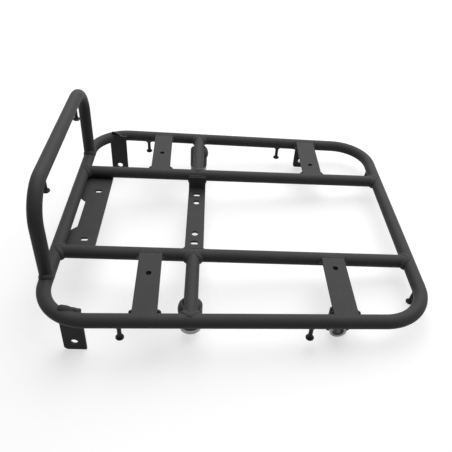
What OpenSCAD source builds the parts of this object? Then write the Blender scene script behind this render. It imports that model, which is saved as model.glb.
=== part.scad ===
// Motorcycle luggage rack: a welded tube deck with an end hoop, flat fixing plates, legs and
// cord pegs. X runs from the hoop end to the open end, Y across the rack, Z up. The rack stands
// on the two long legs at z = 0, and every height below is measured from the tube axes.

/* [Tube] */
// Outside diameter of every tube
tube_d = 16; // [14:0.5:19]
// Wall thickness of every tube
tube_wall = 1.5; // [1:0.1:2.5]

/* [Outer loop] */
// Length of the loop between the axes of its end tubes
loop_length = 426; // [400:2:480]
// Width of the loop between tube axes, at the hoop end
hoop_end_width = 386; // [374:2:410]
// Width of the loop between tube axes, at the open end
open_end_width = 364; // [356:2:372]
// Bend radius of the loop's corners, at the tube axis
corner_r = 52; // [46:1:56]

/* [Inner rails and cross stubs] */
// Distance between the axes of the two inner rails
rail_spacing = 172; // [160:1:184]
// X place of the cross stubs and the centre strip
mid_x = -50; // [-60:1:-40]
// How far a coped tube stops short of the axis of the tube that it meets
cope_trim = 1.5; // [1:0.1:2.5]

/* [Hoop] */
// Width of the hoop between the axes of its uprights
hoop_width = 260; // [230:2:270]
// Height of the hoop's crossbar above the loop, axis to axis
hoop_height = 112; // [90:1:140]
// Bend radius of the hoop, at the tube axis
hoop_bend_r = 40; // [32:1:50]

/* [Centre strip] */
// Width of the strip
strip_w = 24; // [22:0.5:30]
// Thickness of the strip
strip_t = 3; // [2:0.5:4]
// Depth of the strip's upper face below the tube axes
strip_depth = 18; // [14:0.5:24]
// Bend radius inside the strip's corners
strip_bend_r = 3; // [2:0.5:4]
// Height of the turned-up ends above the tube axes
strip_end_rise = 3; // [1:0.5:5]
// Offset of the hole pattern from the rack's middle
strip_holes_y = 10; // [4:1:12]
// Spacing of the two slots
strip_slot_spacing = 105; // [90:1:108]
// Length of a slot, along the rack
strip_slot_l = 10.5; // [8:0.5:14]
// Width of a slot
strip_slot_w = 7; // [5:0.5:8]
// Spacing of the two round holes
strip_hole_spacing = 68; // [50:1:76]
// Diameter of the two round holes
strip_hole_d = 9; // [6:0.5:10]

/* [Hoop-end plate] */
// Width of the plate along the rack, from under the end tube's axis
end_plate_w = 41; // [37:0.5:46]
// Thickness of the plate
end_plate_t = 3; // [2:0.5:4]
// Distance from each inner rail's axis to the end of the plate that lies under it
end_plate_trim = 1; // [0:0.5:4]
// How far the plate's slots and notch sit to the near side of the middle
end_pattern_shift = 2; // [0:0.5:4]
// Length of the edge notch across the rack
notch_l = 80; // [60:1:88]
// Depth of the edge notch
notch_depth = 12.5; // [12.5:0.5:14]
// Size of the notch's sloping ends
notch_chamfer = 12.5; // [4:0.5:12.5]
// Spacing of the plate's two slots
end_slot_spacing = 102.5; // [100:0.5:120]
// Distance from the end tube's axis to the slots
end_slot_setback = 26; // [24:0.5:28]
// Length of a slot, along the rack
end_slot_l = 10; // [8:0.5:14]
// Width of a slot
end_slot_w = 6.5; // [5:0.5:8]

/* [Side plates] */
// Width of each side plate along the rack
side_plate_w = 27; // [24:0.5:30]
// Thickness of each side plate
side_plate_t = 3; // [2:0.5:4]
// Height of the plates' upper face above the tube axes
side_plate_rise = 7; // [6:0.25:7]
// X place where the line through the two plates near the hoop crosses the rack's middle
hoop_end_plate_x = -102; // [-108:1:-96]
// Turn of that line off square, with its far end towards the hoop, in degrees
hoop_end_plate_turn = 1.2; // [0:0.1:1.5]
// X place of the two plates near the open end
open_end_plate_x = 118; // [114:1:124]
// Mean distance from the inner rail's axis to the hole, plates near the hoop
hoop_end_hole_reach = 43; // [34:0.5:50]
// How far these two holes sit to the far side of the rack's middle
hoop_end_hole_shift = 3.5; // [0:0.5:5]
// Mean distance from the inner rail's axis to the hole, plates near the open end
open_end_hole_reach = 25.5; // [20:0.5:34]
// How far these two holes sit to the far side of the rack's middle
open_end_hole_shift = 2.5; // [0:0.5:4]
// Diameter of the hole in a side plate
side_hole_d = 6.6; // [6.2:0.1:7]
// Size across the flats of the weld nut under each hole
nut_af = 10; // [9:0.5:13]
// Height of the weld nut
nut_h = 5; // [4:0.5:6]
// Bore of the weld nut, the minor diameter of its thread
nut_bore_d = 5; // [4.5:0.1:5.5]

/* [Legs] */
// Thickness of every leg
leg_t = 3; // [2:0.5:4]
// Diameter of the fixing hole in every leg
leg_hole_d = 8.5; // [6.5:0.5:10]
// Distance from the hoop end tube's axis to the middle of a long leg
long_leg_setback = 35; // [31:1:41]
// Width of a long leg
long_leg_w = 25; // [22:0.5:28]
// Length of a long leg below the tube axes
long_leg_drop = 61; // [50:1:75]
// Distance from the axis of the loop's bend in to the outer face of a long leg
long_leg_inset = 7.3; // [6:0.1:7.5]
// Height of a long leg's rounded top above the tube axes
long_leg_rise = 6.5; // [5:0.5:7.5]
// Height of the long leg's fixing hole above its lower end
long_leg_hole_rise = 12.5; // [10:0.5:16]
// Radius of the long leg's lower outer corner
long_leg_corner_r = 5; // [3:0.5:8]
// How much nearer to the hoop a short leg's middle lies than its side plate's
short_leg_offset = 2; // [-1:0.5:4]
// Width of a short leg
short_leg_w = 27; // [24:0.5:30]
// Length of a short leg below the tube axes
short_leg_drop = 32; // [30:0.5:40]
// Distance from the outer rail's axis in to the outer face of a short leg
short_leg_inset = 14; // [13:0.5:20]
// Depth of the short leg's fixing hole below the tube axes
short_leg_hole_depth = 21; // [18:0.5:22]
// How much nearer to the hoop the fixing hole lies than the short leg's middle
short_leg_hole_offset = 2.5; // [0:0.5:4]
// Radius of the short leg's lower corners
short_leg_corner_r = 4; // [2:0.5:6]
// Outside diameter of the spacer ring on a short leg
spacer_d = 18.5; // [15:0.5:19.5]
// Bore of the spacer ring
spacer_bore_d = 13; // [11:0.5:13.5]
// Length of the spacer ring
spacer_l = 10; // [6:0.5:12]

/* [Middle bosses] */
// Distance from the outer rail's axis in to the axis of each boss
boss_inset = 25.8; // [23:0.1:30]
// Outside diameter of a boss
boss_d = 26; // [22:0.5:27]
// Bore of a boss
boss_bore_d = 17; // [16.5:0.5:19]
// Depth of the boss's upper rim below the tube axes
boss_top_depth = 3.5; // [2:0.5:6]
// Depth of the boss's lower end below the tube axes
boss_drop = 31.5; // [30:0.5:38]
// Diameter of the threaded bush's flange
bush_flange_d = 25; // [20:0.5:26]
// Thickness of the bush's flange
bush_flange_t = 6.5; // [3:0.5:8]
// Length of the bush inside the boss
bush_l = 20; // [14:0.5:23]
// Bore of the bush, the minor diameter of its thread
bush_bore_d = 6.8; // [5:0.1:8.5]

/* [Cord pegs] */
// Diameter of a peg's stem
peg_stem_d = 4.75; // [3:0.25:6]
// Diameter of a peg's head
peg_head_d = 9.5; // [7:0.5:11]
// Thickness of a peg's head
peg_head_t = 2.6; // [2:0.2:4]
// Distance from the tube axis to the lower face of the head
peg_drop = 27.5; // [24:0.5:32]
// X place halfway between the outer rails' two pegs near the hoop
hoop_end_peg_x = -128; // [-134:1:-122]
// X place halfway between the outer rails' two pegs near the open end
open_end_peg_x = 79; // [70:1:88]
// How much nearer to the hoop a peg on the far rail sits than its partner on the near rail
peg_stagger = 6; // [0:1:10]
// Distance from the start of the loop's bend to the pegs on the open end tube
end_tube_peg_inset = 3.3; // [1:0.1:13]
// Lean of these two pegs towards the hoop, in degrees
end_tube_peg_lean = 6; // [0:1:10]
// Distance from the start of the hoop's bend to the pegs on the hoop
hoop_peg_inset = 8; // [5:1:30]

/* [Hidden] */
$fn = 64;

tube_r = tube_d / 2;
bore_d = tube_d - 2 * tube_wall;
half_length = loop_length / 2;
rail_y = rail_spacing / 2;

// Each outer rail comes closer to the middle by taper for each millimetre of X
taper = (hoop_end_width - open_end_width) / 2 / loop_length;
taper_angle = atan(taper);
function outer_rail_y(x) = (hoop_end_width + open_end_width) / 4 - taper * x;

// Centres of the loop's two far bends, at the hoop end and at the open end
hoop_bend_c = [corner_r - half_length, outer_rail_y(corner_r - half_length)
    - corner_r / cos(taper_angle)];
open_bend_c = [half_length - corner_r, outer_rail_y(half_length - corner_r)
    - corner_r / cos(taper_angle)];
// Length of the straight outer rail between its two bends
outer_rail_l = norm(open_bend_c - hoop_bend_c);

// Distances from the rack's middle to the hole in the near or the far side plate
function hoop_end_hole_y(near) = rail_y + hoop_end_hole_reach
    + (near ? -1 : 1) * hoop_end_hole_shift;
function open_end_hole_y(near) = rail_y + open_end_hole_reach
    + (near ? -1 : 1) * open_end_hole_shift;
// Middle of a long leg along the rack, and its outer face, set in from the axis of the bend
long_leg_x = long_leg_setback - half_length;
long_leg_y = hoop_bend_c.y + sqrt(pow(corner_r, 2) - pow(long_leg_x - hoop_bend_c.x, 2))
    - long_leg_inset;
// Middle of a short leg along the rack, and its outer face
short_leg_x = open_end_plate_x - short_leg_offset;
short_leg_y = outer_rail_y(short_leg_x) - short_leg_inset;
// Distances from the rack's middle to the bosses' axes and to the pegs on the end tubes
boss_y = outer_rail_y(mid_x) - boss_inset;
end_tube_peg_y = open_bend_c.y - end_tube_peg_inset;
hoop_peg_y = hoop_width / 2 - hoop_bend_r - hoop_peg_inset;

// Small overrun of a cutting shape past the face that it opens
over = 1;
// Hairline left between the tube ends at each of the loop's four butt welds
butt_gap = 0.02;
// Reach of the weld metal to each side of a butt joint, and its thickness inside the tube
weld_root_l = 4;
weld_root_t = 1;

powder_coat = "#3a3a3c";
zinc = "#b9babd";

// Lifts the tube axes to their height above the ground
module on_deck() {
    translate([0, 0, long_leg_drop]) children();
}

// Draws children on the far side, or mirrored to the near side
module on_side(near) {
    if (near) mirror([0, 1, 0]) children();
    else children();
}

module tube_along_y(x, y0, y1, z, d) {
    translate([x, y0, z]) rotate([-90, 0, 0]) cylinder(d = d, h = y1 - y0);
}

// One long side of the loop as a solid bar: an outer rail with the bend at each of its ends.
// It is drawn from the rail's start, with X along the rail.
module loop_side(near, d, $fn = 48) {
    on_side(near) translate(hoop_bend_c) rotate([0, 0, -taper_angle]) {
        translate([0, corner_r, 0]) rotate([0, 90, 0]) cylinder(d = d, h = outer_rail_l);
        rotate([0, 0, 90]) rotate_extrude(angle = 90 + taper_angle)
            translate([corner_r, 0]) circle(d = d);
        translate([outer_rail_l, 0, 0]) mirror([1, 0, 0]) rotate([0, 0, 90])
            rotate_extrude(angle = 90 - taper_angle) translate([corner_r, 0]) circle(d = d);
    }
}

// The loop as a solid bar of the given diameter, with the tube axes at z = 0
module loop_bar(d) {
    for (near = [false, true]) loop_side(near, d);
    tube_along_y(-half_length, -hoop_bend_c.y, hoop_bend_c.y, 0, d);
    tube_along_y(half_length, -open_bend_c.y, open_bend_c.y, 0, d);
}

// An inner rail as a solid bar between the end tubes' axes, less a trim at each end
module rail_bar(near, d, trim) {
    on_side(near) translate([trim - half_length, rail_y, 0]) rotate([0, 90, 0])
        cylinder(d = d, h = loop_length - 2 * trim);
}

// The hoop as a solid bar whose uprights start at the given height
module hoop_bar(d, foot_z) {
    top_half = hoop_width / 2 - hoop_bend_r;
    translate([-half_length, 0, 0]) {
        tube_along_y(0, -top_half, top_half, hoop_height, d);
        for (near = [false, true]) on_side(near) {
            translate([0, top_half, hoop_height - hoop_bend_r]) rotate([90, 0, 90])
                rotate_extrude(angle = 90) translate([hoop_bend_r, 0]) circle(d = d);
            translate([0, hoop_width / 2, foot_z])
                cylinder(d = d, h = hoop_height - hoop_bend_r - foot_z);
        }
    }
}

// A cross stub as a solid bar between the inner and the outer rail
module stub_bar(near, d, trim) {
    on_side(near)
        tube_along_y(mid_x, rail_y + trim, outer_rail_y(mid_x) - trim, 0, d);
}

// A straight end tube of the loop, with the weld metal inside the butt joint at each end
module loop_end_tube(x, joint_y) {
    difference() {
        tube_along_y(x, butt_gap - joint_y, joint_y - butt_gap, 0, tube_d);
        tube_along_y(x, butt_gap - joint_y, joint_y - butt_gap, 0, bore_d);
    }
    for (near = [false, true]) on_side(near) difference() {
        tube_along_y(x, joint_y - weld_root_l, joint_y + weld_root_l, 0, bore_d + weld_root_t);
        tube_along_y(x, joint_y - weld_root_l - over, joint_y + weld_root_l + over, 0,
            bore_d - weld_root_t);
    }
}

// The loop is two bent sides and two straight ends, butt-welded where the bends end
module outer_loop_tube() {
    color(powder_coat) on_deck() {
        for (near = [false, true]) difference() {
            loop_side(near, tube_d);
            loop_side(near, bore_d);
        }
        loop_end_tube(-half_length, hoop_bend_c.y);
        loop_end_tube(half_length, open_bend_c.y);
    }
}

module inner_rail(near) {
    color(powder_coat) on_deck() difference() {
        rail_bar(near, tube_d, cope_trim);
        rail_bar(near, bore_d, 0);
        loop_bar(tube_d);
    }
}

module end_hoop_tube() {
    color(powder_coat) on_deck() difference() {
        hoop_bar(tube_d, cope_trim);
        hoop_bar(bore_d, 0);
        loop_bar(tube_d);
    }
}

module cross_stub(near) {
    color(powder_coat) on_deck() difference() {
        stub_bar(near, tube_d, cope_trim);
        stub_bar(near, bore_d, 0);
        rail_bar(near, tube_d, 0);
        loop_bar(tube_d);
    }
}

// A rectangle that stands on the X axis, with its lower corners rounded
module round_bottomed(w, h, r) {
    translate([-w / 2, r]) square([w, h - r]);
    translate([r - w / 2, 0]) square([w - 2 * r, r]);
    for (side = [-1, 1]) translate([side * (w / 2 - r), r]) circle(r = r);
}

// Section of the centre strip, across the rack: both ends are bent up against the inner rails
module strip_section() {
    span = rail_spacing - tube_d;
    difference() {
        round_bottomed(span, strip_t + strip_depth + strip_end_rise, strip_bend_r + strip_t);
        translate([0, strip_t])
            round_bottomed(span - 2 * strip_t, strip_depth + strip_end_rise + over, strip_bend_r);
    }
}

// A slot whose long side lies along X, cut down through z = 0
module slot_x(l, w, depth) {
    translate([0, 0, -depth - over]) linear_extrude(height = depth + 2 * over) {
        translate([-(l - w) / 2, -w / 2]) square([l - w, w]);
        for (side = [-1, 1]) translate([side * (l - w) / 2, 0]) circle(d = w);
    }
}

module centre_strip() {
    color(powder_coat) on_deck() difference() {
        translate([mid_x - strip_w / 2, 0, -strip_depth - strip_t]) rotate([90, 0, 90])
            linear_extrude(height = strip_w) strip_section();
        translate([mid_x, strip_holes_y, -strip_depth]) for (side = [-1, 1]) {
            translate([0, side * strip_slot_spacing / 2, 0])
                slot_x(strip_slot_l, strip_slot_w, strip_t);
            translate([0, side * strip_hole_spacing / 2, -strip_t - over])
                cylinder(d = strip_hole_d, h = strip_t + 2 * over);
        }
    }
}

// Outline of the edge notch, with the plate's outer edge on the Y axis
module notch_outline() {
    polygon([
        [-over, -notch_l / 2], [notch_depth - notch_chamfer, -notch_l / 2],
        [notch_depth, notch_chamfer - notch_l / 2], [notch_depth, notch_l / 2 - notch_chamfer],
        [notch_depth - notch_chamfer, notch_l / 2], [-over, notch_l / 2]
    ]);
}

// The flat plate that lies against the undersides of the end tube and of both inner rails
module hoop_end_plate() {
    half_span = rail_y - end_plate_trim;
    color(powder_coat) on_deck() translate([-half_length, 0, -tube_r]) difference() {
        translate([0, -half_span, -end_plate_t]) cube([end_plate_w, 2 * half_span, end_plate_t]);
        translate([0, -end_pattern_shift, 0]) {
            translate([0, 0, -end_plate_t - over])
                linear_extrude(height = end_plate_t + 2 * over) notch_outline();
            for (side = [-1, 1])
                translate([end_slot_setback, side * end_slot_spacing / 2, 0])
                    slot_x(end_slot_l, end_slot_w, end_plate_t);
        }
    }
}

// Draws children on the line through a pair of side plates, which crosses the middle at x
module on_plate_line(near, x, turn) {
    translate([x, 0, 0]) rotate([0, 0, turn]) on_side(near) children();
}

// A flat plate between an inner and an outer rail, coped to both tubes
module side_plate(near, x, turn, hole_y) {
    y0 = rail_y + cope_trim;
    y1 = outer_rail_y(x + side_plate_w / 2) - cope_trim;
    color(powder_coat) on_deck() difference() {
        on_plate_line(near, x, turn) difference() {
            translate([-side_plate_w / 2, y0, side_plate_rise - side_plate_t])
                cube([side_plate_w, y1 - y0, side_plate_t]);
            translate([0, hole_y, side_plate_rise - side_plate_t - over])
                cylinder(d = side_hole_d, h = side_plate_t + 2 * over);
        }
        rail_bar(near, tube_d, 0);
        loop_bar(tube_d);
    }
}

module weld_nut(near, x, turn, hole_y) {
    color(powder_coat) on_deck() on_plate_line(near, x, turn)
        translate([0, hole_y, side_plate_rise - side_plate_t - nut_h]) difference() {
            cylinder(d = nut_af / cos(30), h = nut_h, $fn = 6);
            translate([0, 0, -over]) cylinder(d = nut_bore_d, h = nut_h + 2 * over);
        }
}

// Outline of a long leg, with X across and Y up, and its lower end at y = 0
module long_leg_outline() {
    top_y = long_leg_drop + long_leg_rise;
    // The top is an arc whose ends lie one sixth of the width below its crown
    sagitta = long_leg_w / 6;
    top_r = (long_leg_w * long_leg_w / 4 + sagitta * sagitta) / (2 * sagitta);
    intersection() {
        union() {
            translate([long_leg_corner_r - long_leg_w / 2, 0])
                square([long_leg_w - long_leg_corner_r, top_y]);
            translate([-long_leg_w / 2, long_leg_corner_r])
                square([long_leg_w, top_y - long_leg_corner_r]);
            translate([long_leg_corner_r - long_leg_w / 2, long_leg_corner_r])
                circle(r = long_leg_corner_r);
        }
        union() {
            translate([0, top_y - top_r]) circle(r = top_r, $fn = 96);
            translate([-long_leg_w / 2 - over, -over])
                square([long_leg_w + 2 * over, top_y - sagitta + over]);
        }
    }
}

// A long leg at the hoop end, cut to fit round the loop's bend
module long_leg(near) {
    color(powder_coat) on_deck() difference() {
        on_side(near) translate([long_leg_x, long_leg_y, -long_leg_drop])
            rotate([90, 0, 0]) linear_extrude(height = leg_t) difference() {
                long_leg_outline();
                translate([0, long_leg_hole_rise]) circle(d = leg_hole_d);
            }
        loop_bar(tube_d);
    }
}

// A short leg, welded under the side plate at the open end
module short_leg(near) {
    color(powder_coat) on_deck() on_side(near)
        translate([short_leg_x, short_leg_y, -short_leg_drop])
            rotate([90, 0, 0]) linear_extrude(height = leg_t) difference() {
                round_bottomed(short_leg_w, short_leg_drop + side_plate_rise - side_plate_t,
                    short_leg_corner_r);
                translate([-short_leg_hole_offset, short_leg_drop - short_leg_hole_depth])
                    circle(d = leg_hole_d);
            }
}

// The zinc-plated ring on the outer face of a short leg, round its fixing hole
module spacer_ring(near) {
    color(zinc) on_deck() on_side(near)
        translate([short_leg_x - short_leg_hole_offset, short_leg_y, -short_leg_hole_depth])
            rotate([-90, 0, 0]) difference() {
                cylinder(d = spacer_d, h = spacer_l);
                translate([0, 0, -over]) cylinder(d = spacer_bore_d, h = spacer_l + 2 * over);
            }
}

// An upright boss under a cross stub, cut to fit round the stub
module middle_boss(near) {
    color(powder_coat) on_deck() difference() {
        on_side(near) translate([mid_x, boss_y, -boss_drop]) difference() {
            cylinder(d = boss_d, h = boss_drop - boss_top_depth);
            translate([0, 0, -over]) cylinder(d = boss_bore_d, h = boss_drop + over);
        }
        stub_bar(near, tube_d, 0);
    }
}

// The flanged bush that is pressed into a boss from below, threaded for a bolt
module threaded_bush(near) {
    color(zinc) on_deck() on_side(near) translate([mid_x, boss_y, -boss_drop]) difference() {
        union() {
            cylinder(d = boss_bore_d, h = bush_l);
            translate([0, 0, -bush_flange_t]) cylinder(d = bush_flange_d, h = bush_flange_t);
        }
        translate([0, 0, -bush_flange_t - over])
            cylinder(d = bush_bore_d, h = bush_l + bush_flange_t + 2 * over);
    }
}

// A peg that hangs from a tube axis at z = 0, before its top is cut to fit the tube
module peg_blank() {
    edge_r = peg_head_t / 2;
    translate([0, 0, -peg_drop]) rotate_extrude() {
        square([peg_head_d / 2 - edge_r, peg_head_t]);
        translate([peg_head_d / 2 - edge_r, edge_r]) intersection() {
            circle(r = edge_r);
            translate([0, -edge_r]) square(2 * edge_r);
        }
        square([peg_stem_d / 2, peg_drop - tube_r / 2]);
    }
}

module rail_peg(near, x) {
    peg_x = x + (near ? 1 : -1) * peg_stagger / 2;
    color(powder_coat) on_deck() difference() {
        on_side(near) translate([peg_x, outer_rail_y(peg_x), 0]) peg_blank();
        loop_bar(tube_d);
    }
}

module end_tube_peg(near) {
    color(powder_coat) on_deck() difference() {
        on_side(near) translate([half_length, end_tube_peg_y, 0])
            rotate([0, end_tube_peg_lean, 0]) peg_blank();
        loop_bar(tube_d);
    }
}

module hoop_peg(near) {
    color(powder_coat) on_deck() difference() {
        on_side(near) translate([-half_length, hoop_peg_y, hoop_height]) peg_blank();
        hoop_bar(tube_d, cope_trim);
    }
}

outer_loop_tube();
inner_rail(true);  // inner_rail_near
inner_rail(false);  // inner_rail_far
end_hoop_tube();
cross_stub(true);  // cross_stub_near
cross_stub(false);  // cross_stub_far
centre_strip();
hoop_end_plate();
side_plate(true, hoop_end_plate_x, hoop_end_plate_turn, hoop_end_hole_y(true));  // side_plate_hoop_end_near
side_plate(false, hoop_end_plate_x, hoop_end_plate_turn, hoop_end_hole_y(false));  // side_plate_hoop_end_far
side_plate(true, open_end_plate_x, 0, open_end_hole_y(true));  // side_plate_open_end_near
side_plate(false, open_end_plate_x, 0, open_end_hole_y(false));  // side_plate_open_end_far
weld_nut(true, hoop_end_plate_x, hoop_end_plate_turn, hoop_end_hole_y(true));  // weld_nut_hoop_end_near
weld_nut(false, hoop_end_plate_x, hoop_end_plate_turn, hoop_end_hole_y(false));  // weld_nut_hoop_end_far
weld_nut(true, open_end_plate_x, 0, open_end_hole_y(true));  // weld_nut_open_end_near
weld_nut(false, open_end_plate_x, 0, open_end_hole_y(false));  // weld_nut_open_end_far
long_leg(true);  // long_leg_near
long_leg(false);  // long_leg_far
short_leg(true);  // short_leg_near
short_leg(false);  // short_leg_far
spacer_ring(true);  // spacer_ring_near
spacer_ring(false);  // spacer_ring_far
middle_boss(true);  // middle_boss_near
middle_boss(false);  // middle_boss_far
threaded_bush(true);  // threaded_bush_near
threaded_bush(false);  // threaded_bush_far
rail_peg(true, hoop_end_peg_x);  // cord_peg_rail_hoop_end_near
rail_peg(false, hoop_end_peg_x);  // cord_peg_rail_hoop_end_far
rail_peg(true, open_end_peg_x);  // cord_peg_rail_open_end_near
rail_peg(false, open_end_peg_x);  // cord_peg_rail_open_end_far
end_tube_peg(true);  // cord_peg_end_tube_near
end_tube_peg(false);  // cord_peg_end_tube_far
hoop_peg(true);  // cord_peg_hoop_near
hoop_peg(false);  // cord_peg_hoop_far
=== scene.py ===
import math
import random

import bmesh
import bpy
from mathutils import Matrix, Vector


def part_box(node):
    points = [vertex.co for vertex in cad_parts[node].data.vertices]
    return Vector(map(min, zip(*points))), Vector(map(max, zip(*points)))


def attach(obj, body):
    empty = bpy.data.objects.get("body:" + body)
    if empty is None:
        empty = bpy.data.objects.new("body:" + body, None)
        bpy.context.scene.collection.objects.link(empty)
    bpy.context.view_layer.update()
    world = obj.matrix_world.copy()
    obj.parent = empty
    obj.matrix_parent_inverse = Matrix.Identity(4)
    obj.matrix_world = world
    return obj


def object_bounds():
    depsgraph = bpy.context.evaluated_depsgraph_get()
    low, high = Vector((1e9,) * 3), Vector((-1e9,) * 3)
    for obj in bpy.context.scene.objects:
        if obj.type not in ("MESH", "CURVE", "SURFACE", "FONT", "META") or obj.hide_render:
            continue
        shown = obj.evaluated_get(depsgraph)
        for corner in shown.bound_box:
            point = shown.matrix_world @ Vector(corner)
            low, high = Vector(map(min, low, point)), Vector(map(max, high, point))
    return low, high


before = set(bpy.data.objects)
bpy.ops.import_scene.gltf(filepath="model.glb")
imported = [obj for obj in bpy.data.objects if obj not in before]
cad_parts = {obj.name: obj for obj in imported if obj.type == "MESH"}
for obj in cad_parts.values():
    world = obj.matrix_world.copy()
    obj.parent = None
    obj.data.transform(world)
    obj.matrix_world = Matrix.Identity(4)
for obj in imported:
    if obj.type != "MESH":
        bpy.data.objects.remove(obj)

cad_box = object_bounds()

# Outer loop.
# The loop is 16 mm steel tube, bent at four corners and butt-welded, with the welds dressed
# flush. The whole weldment is blasted and baked in one satin black powder coat.
coat_dark = (0.040, 0.040, 0.041, 1)
coat_light = (0.052, 0.052, 0.053, 1)
coat_speck = (0.085, 0.085, 0.085, 1)
coat_specular = 0.12
coat_roughness = (0.50, 0.62)
cloud_scale = 45
cloud_detail = 4
peel_scale = 750
peel_detail = 2
peel_strength = 0.35
grain_scale = 3200
grain_detail = 1
grain_strength = 0.2
grain_share = 0.25
speck_scale = 420
speck_size = 0.11
tube_peel_depth = 0.0002

loop_low, loop_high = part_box("outer_loop_tube")
tube_r = (loop_high.z - loop_low.z) / 2
deck_z = (loop_high.z + loop_low.z) / 2
end_tube_x = loop_high.x - tube_r


def noise_node(nodes, links, where, scale, detail):
    """Adds a noise that follows the piece's own coordinates."""
    noise = nodes.new("ShaderNodeTexNoise")
    noise.inputs["Scale"].default_value = scale
    noise.inputs["Detail"].default_value = detail
    links.new(where.outputs["Object"], noise.inputs["Vector"])
    return noise


def powder_coat(name, peel_depth):
    """A satin black coat: cloudy tone, fine orange peel, grain and a few dust specks."""
    material = bpy.data.materials.new(name)
    material.use_nodes = True
    nodes, links = material.node_tree.nodes, material.node_tree.links
    coat = nodes["Principled BSDF"]
    coat.inputs["Specular IOR Level"].default_value = coat_specular
    where = nodes.new("ShaderNodeTexCoord")

    cloud = noise_node(nodes, links, where, cloud_scale, cloud_detail)
    tone = nodes.new("ShaderNodeMix")
    tone.data_type = "RGBA"
    tone.inputs["A"].default_value = coat_dark
    tone.inputs["B"].default_value = coat_light
    links.new(cloud.outputs["Fac"], tone.inputs["Factor"])
    speck = nodes.new("ShaderNodeTexVoronoi")
    speck.inputs["Scale"].default_value = speck_scale
    links.new(where.outputs["Object"], speck.inputs["Vector"])
    is_speck = nodes.new("ShaderNodeMath")
    is_speck.operation = "LESS_THAN"
    is_speck.inputs[1].default_value = speck_size
    links.new(speck.outputs["Distance"], is_speck.inputs[0])
    specked = nodes.new("ShaderNodeMix")
    specked.data_type = "RGBA"
    specked.inputs["B"].default_value = coat_speck
    links.new(is_speck.outputs[0], specked.inputs["Factor"])
    links.new(tone.outputs["Result"], specked.inputs["A"])
    links.new(specked.outputs["Result"], coat.inputs["Base Color"])

    peel = noise_node(nodes, links, where, peel_scale, peel_detail)
    gloss = nodes.new("ShaderNodeMapRange")
    gloss.inputs["To Min"].default_value = coat_roughness[0]
    gloss.inputs["To Max"].default_value = coat_roughness[1]
    links.new(peel.outputs["Fac"], gloss.inputs["Value"])
    links.new(gloss.outputs["Result"], coat.inputs["Roughness"])
    grain = noise_node(nodes, links, where, grain_scale, grain_detail)
    peel_bump = nodes.new("ShaderNodeBump")
    peel_bump.inputs["Strength"].default_value = peel_strength
    peel_bump.inputs["Distance"].default_value = peel_depth
    links.new(peel.outputs["Fac"], peel_bump.inputs["Height"])
    grain_bump = nodes.new("ShaderNodeBump")
    grain_bump.inputs["Strength"].default_value = grain_strength
    grain_bump.inputs["Distance"].default_value = peel_depth * grain_share
    links.new(grain.outputs["Fac"], grain_bump.inputs["Height"])
    links.new(peel_bump.outputs["Normal"], grain_bump.inputs["Normal"])
    links.new(grain_bump.outputs["Normal"], coat.inputs["Normal"])
    return material


def finish_node(node, material):
    """Gives a CAD node its finish."""
    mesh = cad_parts[node].data
    mesh.materials.clear()
    mesh.materials.append(material)


tube_coat = powder_coat("powder_coat_tube", tube_peel_depth)
finish_node("outer_loop_tube", tube_coat)

# Inner rails.
# Two straight tubes run from end tube to end tube, coped to fit round them. Each end is
# closed by a rippled weld bead all the way round, which is coated with the rest.
rail_bead_leg = 0.0042
ripple_pitch = 0.0022
ripple_steps = 6
ripple_height = 0.16
ripple_middle = 0.6
least_ripples = 4
bead_wander = 0.07
bead_waves = (1, 2, 3, 5)
bead_sides = 12
bead_half_width = 0.74
bead_half_height = 0.30
bead_corner_lift = 0.46
bead_corner_limit = 1.3
bead_flat_sink = 0.14
saddle_softening = 0.0022
smooth_bead = 0.25
seam_step = 0.002
bead_peel_depth = 0.0004
merge_distance = 1e-6

bead_coat = powder_coat("powder_coat_bead", bead_peel_depth)
rail_low, rail_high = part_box("inner_rail_far")
rail_y = (rail_low.y + rail_high.y) / 2
sides = (("near", -1), ("far", 1))


def make_piece(bm, name, material):
    """Closes a mesh, smooths it and lets it ride on the rack."""
    bmesh.ops.remove_doubles(bm, verts=bm.verts, dist=merge_distance)
    bmesh.ops.recalc_face_normals(bm, faces=bm.faces)
    mesh = bpy.data.meshes.new(name)
    bm.to_mesh(mesh)
    bm.free()
    mesh.shade_smooth()
    mesh.materials.append(material)
    piece = bpy.data.objects.new(name, mesh)
    bpy.context.scene.collection.objects.link(piece)
    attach(piece, "root")
    return piece


def bead_frame(seam, u, leg, swell):
    """Centre and half-axes of a bead's section: it lies in the corner between two skins."""
    point, skin_a, skin_b = seam(u)
    lift = (skin_a + skin_b).normalized()
    along = seam(u + seam_step)[0] - seam(u - seam_step)[0]
    side = along.cross(lift).normalized()
    corner = min(1 - skin_a.dot(skin_b), bead_corner_limit)
    rise = bead_corner_lift * corner - bead_flat_sink * max(1 - corner, 0)
    centre = point + lift * (leg * rise)
    return centre, side * (leg * bead_half_width * swell), lift * (leg * bead_half_height * swell)


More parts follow.
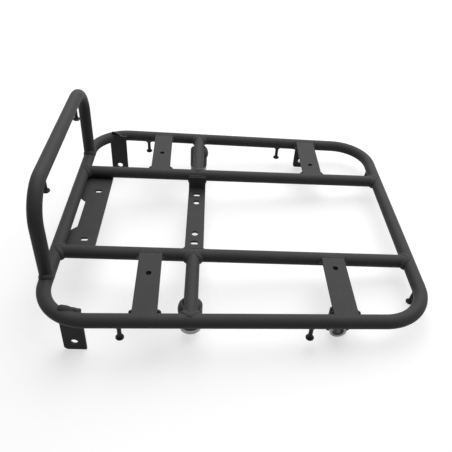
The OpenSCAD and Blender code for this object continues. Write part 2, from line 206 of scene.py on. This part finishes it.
def lay_bead(name, seam, length, leg, closed, rough=1.0):
    """Sweeps a rippled bead along a seam: seam(u) gives a point and both skins' normals."""
    wander = random.Random(name)
    waves = [(turns, wander.uniform(0, math.tau)) for turns in bead_waves]
    steps = max(least_ripples, round(length / ripple_pitch)) * ripple_steps
    bm = bmesh.new()
    bmesh.ops.create_circle(bm, segments=bead_sides, radius=1.0)
    bmesh.ops.spin(bm, geom=bm.verts[:] + bm.edges[:], cent=(0, 0, 0), axis=(0, 0, 1),
                   dvec=(0, 0, 1), angle=0.0, steps=steps, use_merge=False)
    frames = []
    for step in range(steps + 1):
        u = step / steps
        wave = sum(bead_wander * math.sin(math.tau * n * u + start) for n, start in waves)
        ripple = ripple_height * (abs(math.sin(math.pi * step / ripple_steps)) - ripple_middle)
        swell = 1 + rough * (wave + ripple)
        if not closed:
            to_end = min(min(u, 1 - u) * length / leg, 1)
            swell *= math.sqrt(max(1 - (1 - to_end) ** 2, 0))
        frames.append(bead_frame(seam, u, leg, swell))
    for vert in bm.verts:
        centre, side, lift = frames[round(vert.co.z)]
        place = centre + side * vert.co.x + lift * vert.co.y
        vert.co = [min(max(place[k], cad_box[0][k]), cad_box[1][k]) for k in range(3)]
    make_piece(bm, name, bead_coat)


def tee_seam(middle, main_axis, main_r, branch_axis, branch_r):
    """The seam round a branch that ends on a main tube, with their axes crossing at middle."""
    across = main_axis.cross(branch_axis)

    def seam(u):
        turn = math.tau * u
        out = main_axis * math.cos(turn) + across * math.sin(turn)
        sink = branch_r * math.sin(turn)
        reach = math.sqrt(max(main_r ** 2 - sink ** 2, 0) + saddle_softening ** 2)
        skin = (across * sink + branch_axis * reach).normalized()
        return middle + out * branch_r + branch_axis * reach, out, skin

    return seam


along_x = Vector((1, 0, 0))
along_y = Vector((0, 1, 0))
up = Vector((0, 0, 1))
for side_name, side in sides:
    finish_node("inner_rail_" + side_name, tube_coat)
    for end_name, end in (("hoop_end", -1), ("open_end", 1)):
        corner = Vector((end * end_tube_x, side * rail_y, deck_z))
        seam = tee_seam(corner, along_y, tube_r, along_x * -end, tube_r)
        lay_bead(f"weld_rail_{end_name}_{side_name}", seam, math.tau * tube_r, rail_bead_leg, True)

# End hoop.
# One bent tube stands on the end tube of the loop. Its two feet are coped to the tube and
# welded all round.
hoop_bead_leg = 0.0042

hoop_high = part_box("end_hoop_tube")[1]
hoop_foot_y = hoop_high.y - tube_r
hoop_top_z = hoop_high.z - tube_r
finish_node("end_hoop_tube", tube_coat)
for side_name, side in sides:
    foot = Vector((-end_tube_x, side * hoop_foot_y, deck_z))
    seam = tee_seam(foot, along_y, tube_r, up, tube_r)
    lay_bead("weld_hoop_foot_" + side_name, seam, math.tau * tube_r, hoop_bead_leg, True)

# Cross stubs.
# Two short tubes tie each inner rail to the outer rail. They are coped at both ends and
# welded all round.
stub_bead_leg = 0.0046


def middle_of(node):
    """Middle of a CAD node's box."""
    low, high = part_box(node)
    return (low + high) / 2


rail_peg_a = middle_of("cord_peg_rail_hoop_end_far")
rail_peg_b = middle_of("cord_peg_rail_open_end_far")
outer_taper = (rail_peg_b.y - rail_peg_a.y) / (rail_peg_b.x - rail_peg_a.x)
stub_x = middle_of("cross_stub_far").x


def outer_rail_y(x):
    """Distance of the outer rail's axis from the rack's middle: its pegs hang on that axis."""
    return rail_peg_a.y + outer_taper * (x - rail_peg_a.x)


for side_name, side in sides:
    finish_node("cross_stub_" + side_name, tube_coat)
    inner_end = Vector((stub_x, side * rail_y, deck_z))
    seam = tee_seam(inner_end, along_x, tube_r, along_y * side, tube_r)
    lay_bead("weld_stub_inner_" + side_name, seam, math.tau * tube_r, stub_bead_leg, True)
    outer_end = Vector((stub_x, side * outer_rail_y(stub_x), deck_z))
    seam = tee_seam(outer_end, along_x, tube_r, along_y * -side, tube_r)
    lay_bead("weld_stub_outer_" + side_name, seam, math.tau * tube_r, stub_bead_leg, True)

# Centre strip.
# A flat steel bar whose ends are bent up against the inner rails. Each end is welded to the
# rail along its upper edge and down both sides.
strip_side_bead_leg = {"near": 0.0032, "far": 0.0014}
strip_top_bead_leg = 0.0018
strip_side_bead_l = 0.011
plate_peel_depth = 0.00025

plate_coat = powder_coat("powder_coat_plate", plate_peel_depth)
strip_low, strip_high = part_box("centre_strip")


def straight_seam(start, end, skin_a, skin_b):
    """A seam along a straight corner between two flat skins."""
    return lambda u: (start.lerp(end, u), skin_a, skin_b)


finish_node("centre_strip", plate_coat)
for side_name, side in sides:
    inward = along_y * -side
    rail_skin_y = side * strip_high.y
    start = Vector((strip_low.x, rail_skin_y, strip_high.z))
    end = Vector((strip_high.x, rail_skin_y, strip_high.z))
    lay_bead("weld_strip_top_" + side_name, straight_seam(start, end, inward, up),
             strip_high.x - strip_low.x, strip_top_bead_leg, False)
    for edge_name, edge_x, away in (("left", strip_low.x, -1), ("right", strip_high.x, 1)):
        top = Vector((edge_x, rail_skin_y, strip_high.z))
        seam = straight_seam(top, top - up * strip_side_bead_l, inward, along_x * away)
        lay_bead(f"weld_strip_{edge_name}_{side_name}", seam, strip_side_bead_l,
                 strip_side_bead_leg[side_name], False)

# Hoop-end plate.
# A laser-cut flat plate with two slots and an edge notch. It lies against the undersides of
# the end tube and the inner rails, and stitch welds hold it there from outside.
end_plate_bead_leg = 0.0034
end_plate_stitch_l = 0.030
end_plate_stitch_gap = 0.002

end_plate_low, end_plate_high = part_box("hoop_end_plate")
finish_node("hoop_end_plate", plate_coat)
for side_name, side in sides:
    outer_y = side * end_plate_high.y
    start = Vector((end_plate_low.x, outer_y - side * end_plate_stitch_gap, end_plate_high.z))
    end = start - along_y * (side * end_plate_stitch_l)
    lay_bead("weld_end_plate_tube_" + side_name, straight_seam(start, end, -along_x, -up),
             end_plate_stitch_l, end_plate_bead_leg, False)
    start = Vector((end_plate_high.x, outer_y, end_plate_high.z))
    end = Vector((end_plate_high.x - end_plate_stitch_l, outer_y, end_plate_high.z))
    lay_bead("weld_end_plate_rail_" + side_name,
             straight_seam(start, end, along_y * side, -up), end_plate_stitch_l,
             end_plate_bead_leg, False)

# Side plates and weld nuts.
# Four flat plates lie between the inner and outer rails, a little below the tubes' crowns.
# They are welded underneath, with the bead running past both corners, and a thin pass closes
# the seam on top. A hexagon weld nut with an M6 thread sits under each hole.
side_bead_leg = 0.0044
side_bead_overrun = 0.0040
side_top_bead_leg = 0.0026
nut_thread_pitch = 0.001
nut_thread_depth = 0.00022
nut_bore_r = 0.0025
thread_segments = 28


def cut_thread(name, mouth, length, bore_r, pitch, depth, material):
    """Winds a V-shaped ridge up a bore, from its mouth."""
    bm = bmesh.new()
    corners = [bm.verts.new((bore_r + reach, 0, height)) for reach, height in
               ((depth, -pitch / 2), (-depth, 0), (depth, pitch / 2))]
    edges = [bm.edges.new((corners[k], corners[(k + 1) % 3])) for k in range(3)]
    turns = math.floor(length / pitch) - 1
    steps = turns * thread_segments
    bmesh.ops.spin(bm, geom=corners + edges, cent=(0, 0, 0), axis=(0, 0, 1),
                   dvec=(0, 0, turns * pitch / steps), angle=math.tau * turns, steps=steps,
                   use_merge=False)
    open_edges = [edge for edge in bm.edges if edge.is_boundary]
    bmesh.ops.holes_fill(bm, edges=open_edges, sides=3)
    bmesh.ops.translate(bm, verts=bm.verts, vec=mouth + up * pitch)
    make_piece(bm, name, material)


open_plate_low, open_plate_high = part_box("side_plate_open_end_far")
side_plate_half_w = (open_plate_high.x - open_plate_low.x) / 2
for end_name in ("hoop_end", "open_end"):
    near_nut = middle_of(f"weld_nut_{end_name}_near")
    far_nut = middle_of(f"weld_nut_{end_name}_far")
    plate_lean = (far_nut.x - near_nut.x) / (far_nut.y - near_nut.y)
    for side_name, side in sides:
        node = f"side_plate_{end_name}_{side_name}"
        finish_node(node, plate_coat)
        plate_low, plate_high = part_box(node)
        passes = (("under", plate_low.z, -up, side_bead_leg, side_bead_overrun),
                  ("top", plate_high.z, up, side_top_bead_leg, 0))
        for rail_name, away in (("inner", side), ("outer", -side)):
            axis_y = rail_y if rail_name == "inner" else outer_rail_y(far_nut.x)
            end_x = far_nut.x + plate_lean * (side * axis_y - far_nut.y)
            for pass_name, face_z, facing, leg, overrun in passes:
                rise = (face_z - deck_z) / tube_r
                skin = Vector((0, away * math.sqrt(1 - rise ** 2), rise))
                ends = []
                for x in (end_x - side_plate_half_w - overrun, end_x + side_plate_half_w + overrun):
                    y = rail_y if rail_name == "inner" else outer_rail_y(x)
                    ends.append(Vector((x, side * y + skin.y * tube_r, face_z)))
                lay_bead(f"weld_plate_{end_name}_{rail_name}_{pass_name}_{side_name}",
                         straight_seam(ends[0], ends[1], skin, facing), ends[1].x - ends[0].x,
                         leg, False)

        nut = f"weld_nut_{end_name}_{side_name}"
        finish_node(nut, plate_coat)
        nut_low, nut_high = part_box(nut)
        nut_mouth = (nut_low + nut_high) / 2
        nut_mouth.z = nut_low.z
        cut_thread(f"thread_{end_name}_{side_name}", nut_mouth, nut_high.z - nut_low.z,
                   nut_bore_r, nut_thread_pitch, nut_thread_depth, plate_coat)

# Long legs.
# Two flat legs hang inside the loop's bends near the hoop, each with one bolt hole. A bead
# runs along the top of each leg, over the bend, and another one below the tube.
leg_bead_leg = 0.0048
bend_r = 0.052
leg_seam_margin = 0.002
tube_edge_share = 0.98

bend_x = bend_r - end_tube_x
bend_y = outer_rail_y(bend_x) - bend_r / math.cos(math.atan(outer_taper))


def leg_seam(leg_low, leg_high, side, rise):
    """The seam between a leg's outer face and the bend, above or below the tube."""
    face_y = max(abs(leg_low.y), abs(leg_high.y))
    run = leg_high.x - leg_low.x - leg_seam_margin

    def seam(u):
        x = leg_low.x + leg_seam_margin + run * min(max(u, 0), 1)
        spoke = Vector((x - bend_x, face_y - bend_y, 0))
        offset = max(spoke.length - bend_r, -tube_r * tube_edge_share)
        height = math.sqrt(tube_r ** 2 - offset ** 2)
        skin = (spoke.normalized() * offset + up * (rise * height)).normalized()
        point = Vector((x, side * face_y, deck_z + rise * height))
        skin.y *= side
        return point, Vector((0, side * rise, 0)), skin

    return seam


for side_name, side in sides:
    node = "long_leg_" + side_name
    finish_node(node, plate_coat)
    leg_low, leg_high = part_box(node)
    for pass_name, rise, rough in (("top", 1, smooth_bead), ("under", -1, 1.0)):
        lay_bead(f"weld_long_leg_{pass_name}_{side_name}",
                 leg_seam(leg_low, leg_high, side, rise), leg_high.x - leg_low.x,
                 leg_bead_leg, False, rough)

# Short legs and spacer rings.
# Two flat legs stand under the plates at the open end, welded along their top edges on both
# faces. On the far leg the inner bead runs on past the hoop-side edge. A turned, zinc-plated
# spacer ring sits round the bolt hole on each outer face.
short_bead_leg = 0.0042
short_bead_margin = 0.0020
far_inner_bead_overrun = 0.0045
zinc_dark = (0.27, 0.27, 0.28, 1)
zinc_light = (0.36, 0.36, 0.37, 1)
zinc_metallic = 0.85
zinc_roughness = (0.50, 0.60)
zinc_bloom_scale = 260
zinc_bloom_detail = 3
zinc_spangle_scale = 900
zinc_tool_scale = 2600
zinc_tool_detail = 1
zinc_tool_strength = 0.25
zinc_tool_depth = 0.0001


def zinc_plating(name):
    """Dull bright zinc: small crystals, a grey bloom and fine turning marks."""
    material = bpy.data.materials.new(name)
    material.use_nodes = True
    nodes, links = material.node_tree.nodes, material.node_tree.links
    zinc = nodes["Principled BSDF"]
    zinc.inputs["Metallic"].default_value = zinc_metallic
    where = nodes.new("ShaderNodeTexCoord")
    bloom = noise_node(nodes, links, where, zinc_bloom_scale, zinc_bloom_detail)
    tone = nodes.new("ShaderNodeMix")
    tone.data_type = "RGBA"
    tone.inputs["A"].default_value = zinc_dark
    tone.inputs["B"].default_value = zinc_light
    links.new(bloom.outputs["Fac"], tone.inputs["Factor"])
    links.new(tone.outputs["Result"], zinc.inputs["Base Color"])
    spangle = nodes.new("ShaderNodeTexVoronoi")
    spangle.inputs["Scale"].default_value = zinc_spangle_scale
    links.new(where.outputs["Object"], spangle.inputs["Vector"])
    gloss = nodes.new("ShaderNodeMapRange")
    gloss.inputs["To Min"].default_value = zinc_roughness[0]
    gloss.inputs["To Max"].default_value = zinc_roughness[1]
    links.new(spangle.outputs["Distance"], gloss.inputs["Value"])
    links.new(gloss.outputs["Result"], zinc.inputs["Roughness"])
    marks = noise_node(nodes, links, where, zinc_tool_scale, zinc_tool_detail)
    bump = nodes.new("ShaderNodeBump")
    bump.inputs["Strength"].default_value = zinc_tool_strength
    bump.inputs["Distance"].default_value = zinc_tool_depth
    links.new(marks.outputs["Fac"], bump.inputs["Height"])
    links.new(bump.outputs["Normal"], zinc.inputs["Normal"])
    return material


zinc_plate = zinc_plating("zinc_plate_dull")
for side_name, side in sides:
    node = "short_leg_" + side_name
    finish_node(node, plate_coat)
    leg_low, leg_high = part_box(node)
    outer_y = side * max(abs(leg_low.y), abs(leg_high.y))
    inner_y = side * min(abs(leg_low.y), abs(leg_high.y))
    for face_name, face_y, away in (("outer", outer_y, side), ("inner", inner_y, -side)):
        start_x = leg_low.x + short_bead_margin
        if (side_name, face_name) == ("far", "inner"):
            start_x = leg_low.x - far_inner_bead_overrun
        start = Vector((start_x, face_y, leg_high.z))
        end = Vector((leg_high.x - short_bead_margin, face_y, leg_high.z))
        lay_bead(f"weld_short_leg_{face_name}_{side_name}",
                 straight_seam(start, end, along_y * away, -up), (end - start).length,
                 short_bead_leg, False, smooth_bead)
    finish_node("spacer_ring_" + side_name, zinc_plate)

# Middle bosses and threaded bushes.
# An upright boss hangs under each cross stub. A heavy, domed collar of weld metal closes it to
# the stub all round. A turned, zinc-plated bush with an M8 thread is pressed in from below.
collar_profile = ((-0.0048, 0.0005), (-0.0024, -0.0008), (-0.0005, -0.0036), (0.0006, -0.0075),
                  (0.00085, -0.0105), (0.0005, -0.013), (-0.0002, -0.0148))
collar_steps = 96
collar_wobble = 0.012
collar_lobes = (2, 3, 5)
collar_shift = 0.0009
bush_thread_pitch = 0.00125
bush_thread_depth = 0.00028
bush_bore_r = 0.0034


def weld_collar(name, middle, boss_r):
    """Turns the domed collar round a boss's axis and lets its outline wander a little."""
    wander = random.Random(name)
    lobes = [(turns, wander.uniform(0, math.tau)) for turns in collar_lobes]
    bm = bmesh.new()
    ring = [bm.verts.new((boss_r + reach, 0, height)) for reach, height in collar_profile]
    edges = [bm.edges.new(pair) for pair in zip(ring, ring[1:] + ring[:1])]
    bmesh.ops.spin(bm, geom=ring + edges, cent=(0, 0, 0), axis=(0, 0, 1), dvec=(0, 0, 0),
                   angle=math.tau, steps=collar_steps, use_merge=True)
    for vert in bm.verts:
        turn = math.atan2(vert.co.y, vert.co.x)
        swell = 1 + sum(collar_wobble * math.sin(n * turn + start) for n, start in lobes)
        vert.co.x *= swell
        vert.co.y *= swell
    bmesh.ops.translate(bm, verts=bm.verts, vec=middle)
    make_piece(bm, name, bead_coat)


for side_name, side in sides:
    node = "middle_boss_" + side_name
    finish_node(node, tube_coat)
    boss_low, boss_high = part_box(node)
    collar_middle = (boss_low + boss_high) / 2
    collar_middle.x += side * collar_shift
    collar_middle.z = deck_z
    weld_collar("weld_boss_collar_" + side_name, collar_middle, (boss_high.x - boss_low.x) / 2)

    bush = "threaded_bush_" + side_name
    finish_node(bush, zinc_plate)
    bush_low, bush_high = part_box(bush)
    bush_mouth = (bush_low + bush_high) / 2
    bush_mouth.z = bush_low.z
    cut_thread("thread_bush_" + side_name, bush_mouth, bush_high.z - bush_low.z,
               bush_bore_r, bush_thread_pitch, bush_thread_depth, zinc_plate)

# Cord pegs.
# Eight turned pegs with round heads hang from the rails, the open end tube and the hoop. A
# small cone of weld metal holds each one.
peg_bead_leg = 0.0027
peg_stem_r = 0.002375
peg_ring_r = 2 * peg_stem_r

rail_run = Vector((1, outer_taper, 0)).normalized()


def hold_peg(name, root, tube_axis, hang):
    """Lays the small bead that holds a peg's stem to its tube."""
    seam = tee_seam(root, tube_axis, tube_r, hang, peg_stem_r)
    lay_bead("weld_peg_" + name, seam, math.tau * peg_ring_r, peg_bead_leg, True)


for side_name, side in sides:
    run = Vector((rail_run.x, side * rail_run.y, 0))
    for end_name in ("hoop_end", "open_end"):
        place_name = f"rail_{end_name}_{side_name}"
        finish_node("cord_peg_" + place_name, tube_coat)
        root = middle_of("cord_peg_" + place_name)
        root.z = deck_z
        hold_peg(place_name, root, run, -up)

    place_name = "end_tube_" + side_name
    finish_node("cord_peg_" + place_name, tube_coat)
    peg_low, peg_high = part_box("cord_peg_" + place_name)
    root = Vector((end_tube_x, (peg_low.y + peg_high.y) / 2, deck_z))
    head_r = (peg_high.y - peg_low.y) / 2
    foot = Vector((peg_low.x + head_r, root.y, peg_low.z))
    hold_peg(place_name, root, along_y, (foot - root).normalized())

    place_name = "hoop_" + side_name
    finish_node("cord_peg_" + place_name, tube_coat)
    root = middle_of("cord_peg_" + place_name)
    root.z = hoop_top_z
    hold_peg(place_name, root, along_y, -up)

# Ground and backdrop.
# A white sheet lies under the rack. The rack stands on its long legs and on the two pegs of
# the open end tube, so the sheet slopes a little against the deck.
ground_size = 8.0
ground_white = 0.45
ground_lift = 0.635
paper_roughness = 0.9
paper_specular = 0.1
room_strength = 0.10
backdrop_strength = 1.0

stand_low = Vector((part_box("long_leg_far")[1].x, 0, 0))
stand_high = Vector((end_tube_x, 0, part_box("cord_peg_end_tube_far")[0].z))
ground_slope = math.atan2(stand_high.z - stand_low.z, stand_high.x - stand_low.x)
bm = bmesh.new()
bmesh.ops.create_grid(bm, x_segments=1, y_segments=1, size=ground_size / 2)
bmesh.ops.rotate(bm, verts=bm.verts, cent=(0, 0, 0),
                 matrix=Matrix.Rotation(-ground_slope, 3, "Y"))
bmesh.ops.translate(bm, verts=bm.verts, vec=stand_low)
ground_mesh = bpy.data.meshes.new("ground_sheet")
bm.to_mesh(ground_mesh)
bm.free()
ground = bpy.data.objects.new("ground_sheet", ground_mesh)
bpy.context.scene.collection.objects.link(ground)


def seen_directly(nodes, links):
    """1 for what the camera sees, also through glass or in a reflection, and else 0."""
    path = nodes.new("ShaderNodeLightPath")
    either = nodes.new("ShaderNodeMath")
    either.operation = "MAXIMUM"
    links.new(path.outputs["Is Camera Ray"], either.inputs[0])
    links.new(path.outputs["Is Glossy Ray"], either.inputs[1])
    any_ray = nodes.new("ShaderNodeMath")
    any_ray.operation = "MAXIMUM"
    links.new(either.outputs[0], any_ray.inputs[0])
    links.new(path.outputs["Is Transmission Ray"], any_ray.inputs[1])
    return any_ray.outputs[0]


ground_paper = bpy.data.materials.new("ground_paper")
ground_paper.use_nodes = True
nodes, links = ground_paper.node_tree.nodes, ground_paper.node_tree.links
paper = nodes["Principled BSDF"]
paper.inputs["Base Color"].default_value = (ground_white, ground_white, ground_white, 1)
paper.inputs["Roughness"].default_value = paper_roughness
paper.inputs["Specular IOR Level"].default_value = paper_specular
lift_level = nodes.new("ShaderNodeMath")
lift_level.operation = "MULTIPLY"
lift_level.inputs[1].default_value = ground_lift
links.new(seen_directly(nodes, links), lift_level.inputs[0])
lift = nodes.new("ShaderNodeEmission")
links.new(lift_level.outputs[0], lift.inputs["Strength"])
lifted = nodes.new("ShaderNodeAddShader")
links.new(paper.outputs[0], lifted.inputs[0])
links.new(lift.outputs[0], lifted.inputs[1])
links.new(lifted.outputs[0], nodes["Material Output"].inputs["Surface"])
ground_mesh.materials.append(ground_paper)

world = bpy.data.worlds.new("studio")
world.use_nodes = True
bpy.context.scene.world = world
nodes, links = world.node_tree.nodes, world.node_tree.links
room = nodes["Background"]
room.inputs["Color"].default_value = (1, 1, 1, 1)
room.inputs["Strength"].default_value = room_strength
backdrop = nodes.new("ShaderNodeBackground")
backdrop.inputs["Color"].default_value = (1, 1, 1, 1)
backdrop.inputs["Strength"].default_value = backdrop_strength
room_mix = nodes.new("ShaderNodeMixShader")
links.new(seen_directly(nodes, links), room_mix.inputs["Fac"])
links.new(room.outputs[0], room_mix.inputs[1])
links.new(backdrop.outputs[0], room_mix.inputs[2])
links.new(room_mix.outputs[0], nodes["World Output"].inputs["Surface"])

# Softbox and camera.
# One broad softbox hangs above and behind the rack. The camera looks down on it from the
# near side, as the photograph does.
softbox_place = Vector((0.35, 0.7, 1.6))
softbox_size = 2.4
softbox_power = 48.0
camera_place = Vector((-0.0387181, -0.5639021, 0.5001319))
camera_turn = -0.0593911
camera_dip = 0.6734435
camera_roll = 0.0698132
camera_lens = 42.7078
camera_shift = (-0.0061673, -0.0149613)
camera_clip = 0.01

softbox = bpy.data.lights.new("softbox", "AREA")
softbox.shape = "SQUARE"
softbox.size = softbox_size
softbox.energy = softbox_power
softbox_object = bpy.data.objects.new("softbox", softbox)
bpy.context.scene.collection.objects.link(softbox_object)
softbox_object.location = softbox_place
softbox_object.rotation_euler = (-softbox_place).to_track_quat("-Z", "Y").to_euler()

back = Vector((math.sin(camera_turn) * math.cos(camera_dip),
               -math.cos(camera_turn) * math.cos(camera_dip), math.sin(camera_dip)))
camera_rotation = (-back).to_track_quat("-Z", "Y").to_matrix()
camera_rotation = camera_rotation @ Matrix.Rotation(camera_roll, 3, "Z")
camera_data = bpy.data.cameras.new("camera")
camera_data.lens = camera_lens
camera_data.shift_x, camera_data.shift_y = camera_shift
camera_data.clip_start = camera_clip
camera = bpy.data.objects.new("camera", camera_data)
camera.matrix_world = Matrix.Translation(camera_place) @ camera_rotation.to_4x4()
bpy.context.scene.collection.objects.link(camera)
bpy.context.scene.camera = camera
bpy.context.scene.view_settings.view_transform = "Standard"
